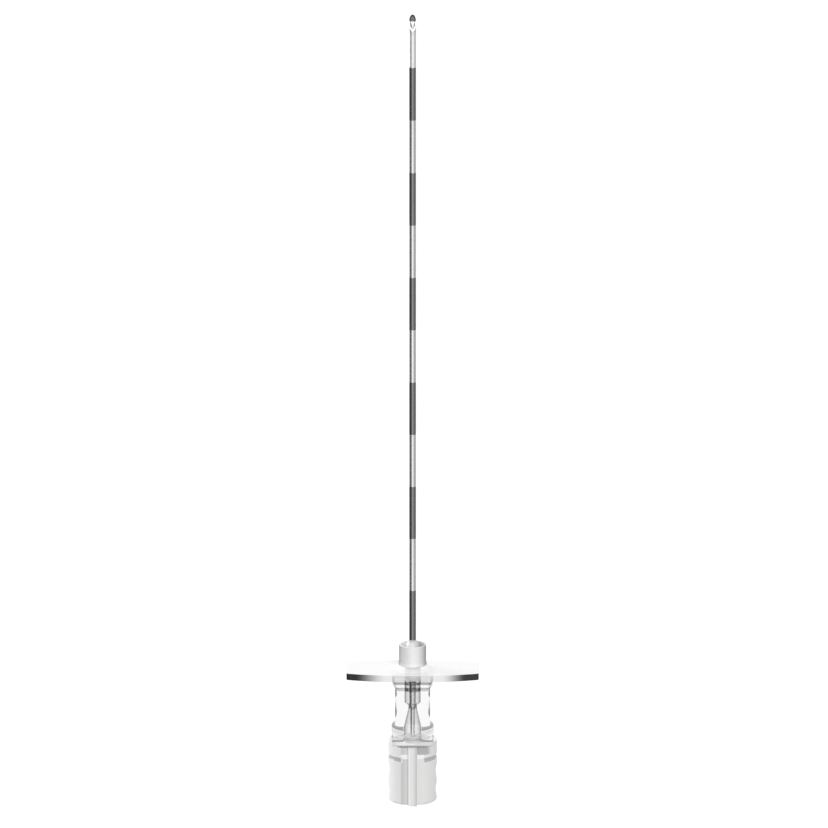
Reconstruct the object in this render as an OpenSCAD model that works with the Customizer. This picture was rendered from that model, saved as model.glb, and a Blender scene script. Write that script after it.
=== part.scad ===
// Epidural needle standing point up on its stylet cap.
// Z runs from the floor under the cap to the point, and the bevelled opening faces -Y.
// All lengths are in millimetres.

/* [Cannula] */
// Outside diameter of the steel tube
cannula_od = 1.27; // [0.9:0.01:1.6]
// Wall of the steel tube
cannula_wall = 0.135; // [0.1:0.005:0.2]
// Length of tube that stands clear of the nose sleeve's cone
exposed_l = 120; // [80:1:150]
// Length of each light or dark depth band
band_l = 10; // [5:1:20]
// Length of tube below the nose sleeve, inside the hub's neck
cannula_tail_l = 0.5; // [0.2:0.1:0.7]

/* [Point] */
// Radius of the curve at the point, along the middle of the tube
bend_r = 14; // [11:0.5:20]
// Length of the bevelled opening, from its heel to the point
bevel_l = 3.1; // [2.4:0.1:3.6]

/* [Stylet] */
// Radial clearance of the stylet wire in the tube's bore
wire_gap = 0.05; // [0.03:0.01:0.1]
// Radial clearance of the wire's shaped tip in the curved bore
tip_gap = 0.02; // [0.01:0.005:0.03]
// Depth of the wire in the cap, below the seat
wire_seat_l = 8; // [4:0.5:9.5]
// Thickness of the bond around and under the wire
bond_t = 0.15; // [0.1:0.01:0.25]
// Space on each side of a bond or between bonded pieces
bond_gap = 0.015; // [0.01:0.005:0.03]

/* [Stylet cap] */
// Outside diameter of the cap
cap_d = 9; // [8.4:0.1:11]
// Height of the gripped body, up to the shadow groove
cap_body_h = 8.2; // [6:0.1:12]
// Height of the shadow groove under the head
cap_groove_h = 0.8; // [0.4:0.1:1.2]
// Depth of the shadow groove
cap_groove_d = 0.2; // [0.1:0.05:0.3]
// Height of the head above the shadow groove, up to the hub's seat
cap_head_h = 2.2; // [1.4:0.1:3]
// Round on the bottom edge
cap_edge_r = 0.5; // [0.2:0.1:1]
// Width of the flat channel down the front
channel_w = 4.4; // [3:0.1:5]
// Depth of the flat channel
channel_d = 0.56; // [0.3:0.02:0.7]
// Width of the pointer rib in the channel
rib_w = 1.58; // [1:0.02:2.4]
// Distance that the rib stands proud of the cap's round face
rib_proud = 0.38; // [0.1:0.02:0.6]
// Distance from the rib's top down from the seat
rib_drop = 0.2; // [0.1:0.1:1]
// Number of finger scallops on each side
scallop_n = 2; // [1:1:3]
// Height of the middle of the lowest scallop
scallop_z = 2; // [1.5:0.1:3]
// Distance from one scallop to the next
scallop_pitch = 3.6; // [3:0.1:4.5]
// Length of one scallop along the cap
scallop_l = 2.9; // [2:0.1:3]
// Depth of one scallop
scallop_d = 0.25; // [0.1:0.05:0.4]
// Height of the two locating ears above the seat
ear_h = 0.4; // [0.2:0.1:0.8]
// Width of each ear along the hub's side
ear_w = 5.4; // [3:0.1:6]
// Height of the plug that enters the hub's socket
plug_h = 1; // [0.5:0.1:2]

/* [Hub] */
// Width of the square end plate, across the wings' line
plate_w = 7.4; // [6.8:0.1:7.8]
// Depth of the end plate and the flange, front to back
plate_d = 7; // [6.6:0.1:7.6]
// Thickness of the end plate
plate_h = 0.9; // [0.5:0.1:1.5]
// Height of the undercut between the end plate and the lug ring
undercut_h = 0.25; // [0.1:0.05:0.4]
// Diameter of the lug ring
lug_d = 7.8; // [7.6:0.05:8]
// Height of the lug ring
lug_h = 2.45; // [1.5:0.05:3]
// Round on the lug ring's upper edge
lug_edge_r = 0.6; // [0.2:0.1:1]
// Width of the grip waist
waist_w = 6.5; // [5.8:0.1:7]
// Depth of the grip waist, front to back
waist_d = 6; // [5.4:0.1:6.4]
// Length of the grip waist
waist_h = 7.5; // [6.5:0.1:10]
// Depth of the finger pockets in the waist's flat sides
grip_d = 0.35; // [0.1:0.05:0.5]
// Width of the finger pockets, front to back
grip_w = 3.6; // [2:0.1:4]
// Length of the upper finger pocket
grip_upper_l = 1.8; // [1:0.1:2.4]
// Length of the lower finger pocket
grip_lower_l = 2.6; // [1.5:0.1:3]
// Length of the ridge between the two finger pockets
grip_ridge_l = 1.3; // [0.8:0.1:1.6]
// Width of the top flange
flange_w = 7.55; // [7:0.05:8]
// Thickness of the top flange
flange_h = 1.7; // [1.2:0.1:2.5]
// Chamfer under the flange's ends
flange_chamfer = 0.6; // [0.3:0.1:0.8]

/* [Hub bore] */
// Diameter of the socket at its mouth
socket_d = 3.28; // [3:0.02:3.6]
// Diameter of the socket at its inner end, where the funnel begins
socket_inner_d = 3.16; // [2.8:0.02:3.2]
// Depth of the socket
socket_h = 2.8; // [2:0.1:4]
// Length of the neck between the funnel and the well
neck_h = 0.8; // [0.7:0.1:1.2]
// Radial clearance of the neck around the tube's tail
neck_gap = 0.115; // [0.03:0.005:0.2]

/* [Wings] */
// Length of the wing plate from end to end
wing_l = 24.6; // [18:0.1:32]
// Depth of the wing plate in the middle
wing_d = 10.4; // [9:0.1:12]
// Depth of the wing plate at its ends
wing_end_d = 7; // [5:0.1:8]
// Thickness of the wing plate
wing_h = 1.3; // [0.8:0.1:2]
// Round on the wing plate's corners
wing_corner_r = 0.6; // [0.3:0.1:1]
// Diameter of the boss at its foot
boss_d = 7.4; // [6:0.1:8]
// Height of the boss above the plate
boss_h = 0.8; // [0.4:0.1:1.5]

/* [Nose sleeve] */
// Diameter of the collar
collar_d = 5; // [4.6:0.1:6]
// Height of the collar
collar_h = 3.8; // [3:0.1:6]
// Flare at the collar's foot, on the radius
flare_t = 0.12; // [0.05:0.01:0.2]
// Height of the flare
flare_h = 0.6; // [0.3:0.1:1]
// Wall of the cup in the collar
cup_wall = 0.34; // [0.2:0.02:0.5]
// Depth of the cup
cup_h = 2.4; // [1.5:0.1:2.8]
// Diameter of the cone in the cup at its foot
cone_d = 3.7; // [3:0.1:4]
// Diameter of the cone at its top
cone_top_d = 2.1; // [1.9:0.1:2.6]
// Height of the cone above the collar's rim
cone_rise = 0.4; // [0.1:0.1:1]
// Height of the adhesive bead above the cone
bead_h = 0.5; // [0.2:0.1:1]
// Depth of the adhesive's pocket in the cone's top
pocket_h = 0.7; // [0.3:0.1:1]
// Lip around the adhesive's pocket
pocket_lip = 0.15; // [0.05:0.01:0.2]
// Diameter of the spigot that runs down into the hub
spigot_d = 2.97; // [2.6:0.01:3.2]
// Length of the spigot inside the hub
spigot_l = 5.6; // [4:0.1:6.5]
// Chamfer on the spigot's lower end
spigot_chamfer = 0.35; // [0.1:0.05:0.5]

/* [Hidden] */
$fn = 64;

// Overrun of every cut past the face that it opens
over = 0.5;
// Radial clearance between a moulding and the hole that it passes through
fit_gap = 0.03;
// Clearance between the cap's ears and the hub's end plate
ear_gap = 0.05;
// Corner rounds of the square mouldings
plate_corner_r = 0.4;
waist_corner_r = 1;
flange_corner_r = 0.3;
rib_edge = 0.2;

// Heights of the faces, from the floor up
seat_z = cap_body_h + cap_groove_h + cap_head_h;
lug_z = seat_z + plate_h + undercut_h;
waist_z = lug_z + lug_h;
flange_z = waist_z + waist_h;
hub_top_z = flange_z + flange_h;
wing_top_z = hub_top_z + wing_h;
collar_z = wing_top_z + boss_h;
rim_z = collar_z + collar_h;
cup_floor_z = rim_z - cup_h;
cone_z = rim_z + cone_rise;
bead_z = cone_z + bead_h;
tip_z = cone_z + exposed_l;
spigot_z = hub_top_z - spigot_l;
cannula_z = spigot_z - cannula_tail_l;
funnel_z = seat_z + socket_h;
neck_z = spigot_z - neck_h;
wire_z = seat_z - wire_seat_l;

// Radii of the round fits
cannula_r = cannula_od / 2;
bore_r = cannula_r - cannula_wall;
wire_r = bore_r - wire_gap;
wire_tip_r = bore_r - tip_gap;
sleeve_bore_r = cannula_r + bond_gap;
well_r = spigot_d / 2 + fit_gap;
neck_r = cannula_r + neck_gap;
plug_top_r = socket_d / 2 - fit_gap - plug_h * (socket_d - socket_inner_d) / 2 / socket_h;
cap_r = cap_d / 2;
collar_r = collar_d / 2;
pocket_r = cone_top_d / 2 - pocket_lip;

// The curve starts at bend_z and turns through apex_a before its outer side is back on the needle's axis
apex_a = acos(bend_r / (bend_r + cannula_r));
bend_z = tip_z - (bend_r + cannula_r) * sin(apex_a);
// Share by which the curve runs on past the point before the bevel cuts it
bend_over_share = 1.2;
// The bevel runs from its heel on the tube's front to the point on the axis
heel_z = tip_z - bevel_l;
heel_y = sqrt(pow(bend_r - cannula_r, 2) - pow(heel_z - bend_z, 2)) - bend_r;
bevel_a = atan(-heel_y / bevel_l);

// Half depth of the wing plate's curved edge at a distance x from the middle
wing_arc_r = (pow(wing_l / 2, 2) + pow((wing_d - wing_end_d) / 2, 2)) / (wing_d - wing_end_d);
function wing_half_d(x) = sqrt(pow(wing_arc_r, 2) - pow(x, 2)) - wing_arc_r + wing_d / 2;

// Radius of the cutter that leaves a hollow of this length and depth
function hollow_r(length, depth) = (pow(length / 2, 2) + pow(depth, 2)) / (2 * depth);

// Rectangle with round corners, centred
module round_rect(w, d, r) {
    square([w - 2 * r, d], center = true);
    square([w, d - 2 * r], center = true);
    for (x = [-1, 1], y = [-1, 1])
        translate([x * (w / 2 - r), y * (d / 2 - r)]) circle(r = r);
}

// Profile of a round body whose edge at its far end is round
module round_edge_profile(r, h, edge) {
    square([r - edge, h]);
    square([r, h - edge]);
    translate([r - edge, h - edge]) circle(r = edge);
}

// A pair of hollows in both sides of a body of this half width, at height z, this wide from front to back
module side_hollows(half_w, z, length, depth, width) {
    r = hollow_r(length, depth);
    for (side = [-1, 1])
        translate([side * (half_w + r - depth), 0, z])
            rotate([90, 0, 0]) cylinder(r = r, h = width, center = true);
}

// Rod that follows the tube's middle line from z up round the curve
module bent_rod(r, z) {
    translate([0, 0, z]) cylinder(r = r, h = bend_z - z);
    curved_rod(r);
}

module curved_rod(r) {
    translate([0, -bend_r, bend_z]) rotate([90, 0, 90])
        rotate_extrude(angle = apex_a * bend_over_share) translate([bend_r, 0]) circle(r = r);
}

// Everything in front of the bevel
module bevel_cut() {
    translate([0, 0, tip_z]) rotate([-bevel_a, 0, 0])
        translate([-cannula_od, -2 * cannula_od, -2 * bevel_l])
            cube([2 * cannula_od, 2 * cannula_od, 2 * bevel_l + cannula_od]);
}

module stylet_cap() {
    color("gainsboro") {
        difference() {
            cap_blank();
            translate([-channel_w / 2, -cap_r - over, -over])
                cube([channel_w, channel_d + over, seat_z + ear_h + 2 * over]);
            for (i = [0 : scallop_n - 1])
                side_hollows(cap_r, scallop_z + i * scallop_pitch, scallop_l, scallop_d, cap_d + 2 * over);
            translate([0, 0, wire_z - bond_t - bond_gap])
                cylinder(r = wire_r + bond_t + bond_gap, h = seat_z + plug_h + over - wire_z + bond_t + bond_gap);
        }
        cap_rib();
    }
}

// Body, shadow groove, head, ears and plug, before the channel and the scallops are cut
module cap_blank() {
    difference() {
        rotate_extrude() translate([0, seat_z]) mirror([0, 1])
            round_edge_profile(cap_r, seat_z, cap_edge_r);
        translate([0, 0, cap_body_h]) difference() {
            cylinder(r = cap_r + over, h = cap_groove_h);
            translate([0, 0, -over]) cylinder(r = cap_r - cap_groove_d, h = cap_groove_h + 2 * over);
        }
    }
    difference() {
        translate([0, 0, seat_z]) intersection() {
            cylinder(r = cap_r, h = ear_h);
            translate([-cap_r, -ear_w / 2, 0]) cube([cap_d, ear_w, ear_h]);
        }
        translate([-plate_w / 2 - ear_gap, -ear_w / 2 - over, seat_z])
            cube([plate_w + 2 * ear_gap, ear_w + 2 * over, ear_h + over]);
    }
    translate([0, 0, seat_z]) cylinder(r1 = socket_d / 2 - fit_gap, r2 = plug_top_r, h = plug_h);
}

// Pointer rib with eased front edges, in the middle of the channel
module cap_rib() {
    front = cap_r + rib_proud;
    back = cap_r - channel_d - over;
    linear_extrude(seat_z - rib_drop) polygon([
        [-rib_w / 2, -back], [-rib_w / 2, -front + rib_edge], [-rib_w / 2 + rib_edge, -front],
        [rib_w / 2 - rib_edge, -front], [rib_w / 2, -front + rib_edge], [rib_w / 2, -back]]);
}

module stylet_wire() {
    color("silver") {
        translate([0, 0, wire_z]) cylinder(r = wire_r, h = bend_z - wire_z);
        difference() {
            intersection() {
                translate([0, 0, bend_z]) cylinder(r = wire_r, h = tip_z - bend_z);
                curved_rod(wire_tip_r);
            }
            bevel_cut();
        }
    }
}

// Thin cup of bond around the wire's end
module stylet_adhesive() {
    color("khaki") difference() {
        translate([0, 0, wire_z - bond_t]) cylinder(r = wire_r + bond_t, h = wire_seat_l + plug_h + bond_t);
        translate([0, 0, wire_z - bond_gap])
            cylinder(r = wire_r + bond_gap, h = wire_seat_l + plug_h + bond_gap + over);
    }
}

module hub() {
    color("azure", 0.5) difference() {
        union() {
            hub_end_plate();
            hub_lug_ring();
            hub_waist();
            hub_flange();
        }
        hub_bore();
    }
}

module hub_end_plate() {
    translate([0, 0, seat_z]) linear_extrude(plate_h) round_rect(plate_w, plate_d, plate_corner_r);
    translate([0, 0, seat_z]) cylinder(d = waist_d, h = lug_z - seat_z + lug_edge_r);
}

module hub_lug_ring() {
    translate([0, 0, lug_z]) rotate_extrude() round_edge_profile(lug_d / 2, lug_h, lug_edge_r);
}

module hub_waist() {
    upper_z = flange_z - flange_chamfer / 2 - grip_upper_l / 2;
    lower_z = upper_z - grip_upper_l / 2 - grip_ridge_l - grip_lower_l / 2;
    difference() {
        translate([0, 0, waist_z - lug_edge_r])
            linear_extrude(waist_h + lug_edge_r + flange_h / 2)
                round_rect(waist_w, waist_d, waist_corner_r);
        side_hollows(waist_w / 2, upper_z, grip_upper_l, grip_d, grip_w);
        side_hollows(waist_w / 2, lower_z, grip_lower_l, grip_d, grip_w);
    }
}

// Flat-fronted flange whose ends are chamfered underneath
module hub_flange() {
    end_x = flange_w / 2;
    intersection() {
        translate([0, 0, flange_z]) linear_extrude(flange_h) round_rect(flange_w, plate_d, flange_corner_r);
        rotate([90, 0, 0]) linear_extrude(plate_d + 2 * over, center = true) polygon([
            [-end_x + flange_chamfer, flange_z], [end_x - flange_chamfer, flange_z],
            [end_x, flange_z + flange_chamfer], [end_x, hub_top_z],
            [-end_x, hub_top_z], [-end_x, flange_z + flange_chamfer]]);
    }
}

// Socket, funnel, neck and well as one turned cutter
module hub_bore() {
    rotate_extrude() polygon([
        [0, seat_z - over], [socket_d / 2, seat_z - over], [socket_d / 2, seat_z],
        [socket_inner_d / 2, funnel_z], [neck_r, neck_z], [neck_r, spigot_z],
        [well_r, spigot_z], [well_r, hub_top_z + over], [0, hub_top_z + over]]);
}

module wing_plate() {
    color("azure", 0.5) difference() {
        union() {
            translate([0, 0, hub_top_z]) linear_extrude(wing_h) wing_outline();
            translate([0, 0, wing_top_z]) cylinder(d1 = boss_d, r2 = collar_r + flare_t, h = boss_h);
        }
        translate([0, 0, hub_top_z - over]) cylinder(r = well_r, h = wing_h + boss_h + 2 * over);
    }
}

// Long edges are arcs, ends are straight with round corners
module wing_outline() {
    corner_x = wing_l / 2 - wing_corner_r;
    intersection() {
        square([2 * corner_x, wing_d], center = true);
        translate([0, wing_d / 2 - wing_arc_r]) circle(r = wing_arc_r, $fn = 360);
        translate([0, wing_arc_r - wing_d / 2]) circle(r = wing_arc_r, $fn = 360);
    }
    round_rect(wing_l, 2 * wing_half_d(corner_x), wing_corner_r);
}

module nose_sleeve() {
    color("whitesmoke") rotate_extrude() polygon([
        [sleeve_bore_r, spigot_z], [spigot_d / 2 - spigot_chamfer, spigot_z],
        [spigot_d / 2, spigot_z + spigot_chamfer], [spigot_d / 2, collar_z],
        [collar_r + flare_t, collar_z], [collar_r, collar_z + flare_h],
        [collar_r, rim_z], [collar_r - cup_wall, rim_z], [collar_r - cup_wall, cup_floor_z],
        [cone_d / 2, cup_floor_z], [cone_top_d / 2, cone_z],
        [pocket_r, cone_z], [pocket_r, cone_z - pocket_h], [sleeve_bore_r, cone_z - pocket_h]]);
}

module cannula() {
    color("silver") difference() {
        tube();
        dark_bands();
    }
    color("dimgray") intersection() {
        tube();
        dark_bands();
    }
}

module tube() {
    difference() {
        bent_rod(cannula_r, cannula_z);
        bent_rod(bore_r, cannula_z - over);
        bevel_cut();
    }
}

// Every second band is dark, counted from the light one at the point
module dark_bands() {
    for (z = [tip_z - 2 * band_l : -2 * band_l : rim_z])
        translate([0, 0, z]) cylinder(r = cannula_od, h = band_l);
}

// Fills the pocket in the cone's top and rises round the tube as a fillet
module cannula_adhesive() {
    color("whitesmoke") rotate_extrude() polygon([
        [cannula_r + bond_gap, cone_z - pocket_h + bond_gap], [pocket_r - bond_gap, cone_z - pocket_h + bond_gap],
        [pocket_r - bond_gap, cone_z], [cannula_r + 2 * bond_gap, bead_z], [cannula_r + bond_gap, bead_z]]);
}

stylet_cap();
stylet_wire();
stylet_adhesive();
hub();
wing_plate();
nose_sleeve();
cannula();
cannula_adhesive();
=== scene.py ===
"""Looks of an epidural needle that stands point up on its stylet cap.

Z runs from the floor under the cap to the needle's point, and the bevelled opening faces -Y.
Shapes are worked out in millimetres and are written to the meshes in metres.
"""

import logging
import math
from collections.abc import Callable
from dataclasses import dataclass
from enum import Enum

import bpy
import numpy as np
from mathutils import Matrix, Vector


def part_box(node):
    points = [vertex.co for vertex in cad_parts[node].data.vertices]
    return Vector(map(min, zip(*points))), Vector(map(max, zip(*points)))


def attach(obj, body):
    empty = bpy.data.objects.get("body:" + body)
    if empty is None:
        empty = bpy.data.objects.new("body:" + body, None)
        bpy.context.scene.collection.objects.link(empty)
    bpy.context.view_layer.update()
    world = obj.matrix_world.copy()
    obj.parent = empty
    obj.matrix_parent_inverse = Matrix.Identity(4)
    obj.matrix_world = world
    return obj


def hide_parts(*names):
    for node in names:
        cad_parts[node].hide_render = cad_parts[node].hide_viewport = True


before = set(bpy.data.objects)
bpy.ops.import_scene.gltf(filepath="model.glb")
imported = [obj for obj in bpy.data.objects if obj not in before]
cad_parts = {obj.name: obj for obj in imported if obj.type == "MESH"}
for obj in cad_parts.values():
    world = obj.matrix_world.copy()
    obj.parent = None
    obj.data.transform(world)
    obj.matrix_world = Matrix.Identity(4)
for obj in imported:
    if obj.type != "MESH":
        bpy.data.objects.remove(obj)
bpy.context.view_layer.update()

MM = 0.001
TINY = 1e-9
log = logging.getLogger("needle")

Array = np.ndarray
Color = tuple[float, float, float, float]
Number = float | bpy.types.NodeSocket
Bands = tuple[tuple[float, float, float, float], ...]
Shell = tuple[Array, list[list[int]]]
Staged = tuple[bpy.types.Object, bpy.types.NodeTree]


class Body(Enum):
    """The two bodies that come apart when the stylet is pulled."""

    STYLET = "stylet"
    NEEDLE = "needle"


class Ends(Enum):
    """How the first and the last ring of a stack are closed."""

    JOINED = "joined"
    POLES = "poles"


def heights(node: str) -> tuple[float, float]:
    """Lowest and highest height of a node of the frame, in millimetres."""
    low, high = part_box(node)
    return low.z / MM, high.z / MM


def eased(points: Array, radius: float | Array, closed: bool = False, steps: int = 6) -> Array:
    """Rounds the corners of an outline.

    A corner P with A and B on its two sides, a radius away, becomes (1-t)^2 A + 2t(1-t) P + t^2 B. A holding
    point lies just beyond A and B, so that smooth shading keeps the faces beside the corner flat.

    Args:
        points: Corners of the outline, one row of two coordinates each.
        radius: Distance from a corner at which its round starts, for all corners or for each.
        closed: Whether the last corner joins the first. The two ends of an open outline stay sharp.
        steps: Number of pieces in each round.

    Returns:
        The points of the rounded outline, in the same order.
    """
    hold_share, side_share, limit_share = 1.5, 0.3, 0.48
    p = np.asarray(points, float)
    back, ahead = np.roll(p, 1, axis=0) - p, np.roll(p, -1, axis=0) - p
    back_l = np.linalg.norm(back, axis=1, keepdims=True)
    ahead_l = np.linalg.norm(ahead, axis=1, keepdims=True)
    back, ahead = back / back_l, ahead / ahead_l
    wanted = np.broadcast_to(np.asarray(radius, float), (len(p),))[:, None]
    reach = np.minimum(wanted, side_share * np.minimum(back_l, ahead_l))
    t = np.linspace(0, 1, steps + 1)[None, :, None]
    start, end = (p + back * reach)[:, None], (p + ahead * reach)[:, None]
    curve = (1 - t) ** 2 * start + 2 * t * (1 - t) * p[:, None] + t**2 * end
    first = p + back * np.minimum(hold_share * reach, limit_share * back_l)
    last = p + ahead * np.minimum(hold_share * reach, limit_share * ahead_l)
    rows = np.concatenate([first[:, None], curve, last[:, None]], axis=1)
    if closed:
        return rows.reshape(-1, 2)
    return np.vstack([p[:1], rows[1:-1].reshape(-1, 2), p[-1:]])


def turned(profile: Array, columns: int) -> Array:
    """Rings of a profile turned about Z: x = r cos a, y = r sin a, z = z.

    Args:
        profile: Rows of radius and height.
        columns: Number of points round a ring.

    Returns:
        Points in rings, as an array of rings, columns and three coordinates.
    """
    return ringed(profile, np.linspace(0, 2 * np.pi, columns, endpoint=False))


def ringed(profile: Array, angles: Array) -> Array:
    """Rings of a profile, given as rows of radius and height, with a column at each angle."""
    return polar(profile[:, 1], profile[:, :1] * np.ones_like(angles), angles)


def polar(z: Array, reach: Array, angles: Array) -> Array:
    """Rings of points that lie this far from the axis: x = reach cos a, y = reach sin a.

    Args:
        z: Height of each ring.
        reach: Distance from the axis, for each ring and angle.
        angles: Angle of each column.

    Returns:
        Points in rings.
    """
    x, y = reach * np.cos(angles), reach * np.sin(angles)
    return np.stack([x, y, np.broadcast_to(z[:, None], x.shape)], axis=-1)


def side_reach(half_w: Array, angles: Array) -> Array:
    """Distance from the axis to the two planes |x| = half_w: half_w / |cos a|."""
    return half_w / np.maximum(np.abs(np.cos(angles)), TINY)


def rect_reach(angles: Array, half_w: Array, half_d: Array, corner: Array) -> Array:
    """Distance from the axis to a rectangle with round corners.

    A ray at angle a leaves through the side x = half_w, through the side y = half_d, or through the corner
    circle about c, at t = a.c + sqrt((a.c)^2 - |c|^2 + corner^2).

    Args:
        angles: Angle of each column.
        half_w: Half width of each ring's rectangle.
        half_d: Half depth of each ring's rectangle.
        corner: Corner radius of each ring's rectangle.

    Returns:
        The distance for each ring and column.
    """
    w, d, r = (np.atleast_1d(np.asarray(v, float))[:, None] for v in (half_w, half_d, corner))
    c, s = np.abs(np.cos(angles))[None], np.abs(np.sin(angles))[None]
    side, front = w / np.maximum(c, TINY), d / np.maximum(s, TINY)
    along = c * (w - r) + s * (d - r)
    inside = np.maximum(along**2 - (w - r) ** 2 - (d - r) ** 2 + r**2, 0)
    round_off = along + np.sqrt(inside)
    return np.where(side * s <= d - r, side, np.where(front * c <= w - r, front, round_off))


def blend_max(a: Array, b: Array, width: float) -> Array:
    """The larger of two distances, with a soft crease: max(a, b) + (width - |a - b|)^2 / 4 width inside width."""
    near = np.maximum(width - np.abs(a - b), 0)
    return np.maximum(a, b) + near**2 / (4 * width)


def shell(rings: Array, ends: Ends) -> Shell:
    """Skins a stack of rings into one closed shell that faces outwards.

    Quad (i, j) joins points j and j + 1 of ring i to the same points of ring i + 1. A negative volume, summed
    over the triangles as a . (b x c), shows that the faces point inwards, and they are turned round.

    Args:
        rings: Points in rings, in millimetres.
        ends: Whether the last ring joins the first, or each end closes on a pole in its middle.

    Returns:
        The points, and the faces as lists of point numbers.
    """
    rows, cols = rings.shape[:2]
    i = np.arange(rows if ends is Ends.JOINED else rows - 1)[:, None]
    j = np.arange(cols)[None, :]
    right, up = (j + 1) % cols, (i + 1) % rows
    quads = np.stack([i * cols + j, i * cols + right, up * cols + right, up * cols + j], axis=-1).reshape(-1, 4)
    points = rings.reshape(-1, 3)
    fans = np.empty((0, 3), int)
    if ends is Ends.POLES:
        points = np.vstack([points, rings[[0, -1]].mean(axis=1)])
        j, right = j[0], right[0]
        last, pole = (rows - 1) * cols, np.full(cols, rows * cols)
        fans = np.vstack([np.stack([right, j, pole], axis=-1), np.stack([last + j, last + right, pole + 1], axis=-1)])
    corners = points[np.vstack([quads[:, [0, 1, 2]], quads[:, [0, 2, 3]], fans])]
    volume = np.einsum("ij,ij->", corners[:, 0], np.cross(corners[:, 1], corners[:, 2]))
    if volume < 0:
        quads, fans = quads[:, ::-1], fans[:, ::-1]
    return points, quads.tolist() + fans.tolist()


def smooth_mesh(name: str, shells: list[Shell]) -> bpy.types.Object:
    """Puts shells into an object at the origin, smooth-shaded but for the edges that turn by more than 32 degrees.

    Args:
        name: Name of the object.
        shells: Points and faces of each shell, in millimetres.

    Returns:
        The object, linked to the scene.
    """
    sharp_angle = 32.0
    points: list[list[float]] = []
    faces: list[list[int]] = []
    for corners, polygons in shells:
        start = len(points)
        points += (corners * MM).tolist()
        faces += [[start + k for k in polygon] for polygon in polygons]
    mesh = bpy.data.meshes.new(name)
    mesh.from_pydata(points, [], faces)
    mesh.polygons.foreach_set("use_smooth", np.ones(len(faces), bool))
    mesh.update()
    mesh.set_sharp_from_angle(angle=math.radians(sharp_angle))
    piece = bpy.data.objects.new(name, mesh)
    bpy.context.scene.collection.objects.link(piece)
    return piece


def add(tree: bpy.types.NodeTree, kind: str, inputs: dict | None = None, **settings: object) -> bpy.types.Node:
    """Adds a node, sets its options, and sets or joins its inputs.

    Args:
        tree: The node tree that gets the node.
        kind: Blender's name of the node's type, without the ShaderNode in front.
        inputs: For an input's name or number, the value that it gets or the socket that feeds it.
        settings: Options of the node, such as operation.

    Returns:
        The new node.
    """
    node = tree.nodes.new("ShaderNode" + kind)
    for option, value in settings.items():
        setattr(node, option, value)
    for key, value in (inputs or {}).items():
        if isinstance(value, bpy.types.NodeSocket):
            tree.links.new(value, node.inputs[key])
        else:
            node.inputs[key].default_value = value
    return node


class Group:
    """A shader node group with named number inputs, filled in by the functions below."""

    def __init__(self, name: str, inputs: dict[str, float], outputs: dict[str, str]) -> None:
        """Makes the group with its sockets.

        Args:
            name: Name of the group.
            inputs: Names of the number inputs, with their defaults.
            outputs: Names of the outputs, with their kinds, Float or Vector.
        """
        self.tree = bpy.data.node_groups.new(name, "ShaderNodeTree")
        face = self.tree.interface
        for label, value in inputs.items():
            face.new_socket(name=label, in_out="INPUT", socket_type="NodeSocketFloat").default_value = value
        for label, kind in outputs.items():
            face.new_socket(name=label, in_out="OUTPUT", socket_type="NodeSocket" + kind)
        self.enter = self.tree.nodes.new("NodeGroupInput").outputs
        self.leave = self.tree.nodes.new("NodeGroupOutput").inputs
        self.place = add(self.tree, "TexCoord").outputs["Object"]

    def give(self, label: str, socket: bpy.types.NodeSocket) -> None:
        """Joins a socket to one of the group's outputs."""
        self.tree.links.new(socket, self.leave[label])


def moulded_skin() -> Group:
    """Moulded plastic: a slow tone change and the faint ripple that a polished mould leaves."""
    group = Group("moulded_skin", {"Tone scale": 150.0, "Ripple scale": 900.0, "Ripple depth": 0.00001},
                  {"Tone": "Float", "Normal": "Vector"})
    tone = add(group.tree, "TexNoise", {"Vector": group.place, "Scale": group.enter["Tone scale"], "Detail": 2.0})
    ripple = add(group.tree, "TexNoise", {"Vector": group.place, "Scale": group.enter["Ripple scale"],
                                          "Detail": 3.0})
    bump = add(group.tree, "Bump", {"Height": ripple.outputs["Fac"], "Distance": group.enter["Ripple depth"]})
    group.give("Tone", tone.outputs["Fac"])
    group.give("Normal", bump.outputs["Normal"])
    return group


def drawn_lines() -> Group:
    """Drawn steel: fine lines that run along the needle."""
    group = Group("drawn_lines", {"Scale": 9000.0, "Stretch": 0.015, "Line depth": 0.000002},
                  {"Lines": "Float", "Normal": "Vector"})
    place = add(group.tree, "SeparateXYZ", {0: group.place})
    along = add(group.tree, "Math", {0: place.outputs["Z"], 1: group.enter["Stretch"]}, operation="MULTIPLY")
    stretched = add(group.tree, "CombineXYZ", {0: place.outputs["X"], 1: place.outputs["Y"], 2: along.outputs[0]})
    lines = add(group.tree, "TexNoise", {"Vector": stretched.outputs[0], "Scale": group.enter["Scale"]})
    bump = add(group.tree, "Bump", {"Height": lines.outputs["Fac"], "Distance": group.enter["Line depth"]})
    group.give("Lines", lines.outputs["Fac"])
    group.give("Normal", bump.outputs["Normal"])
    return group


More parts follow.
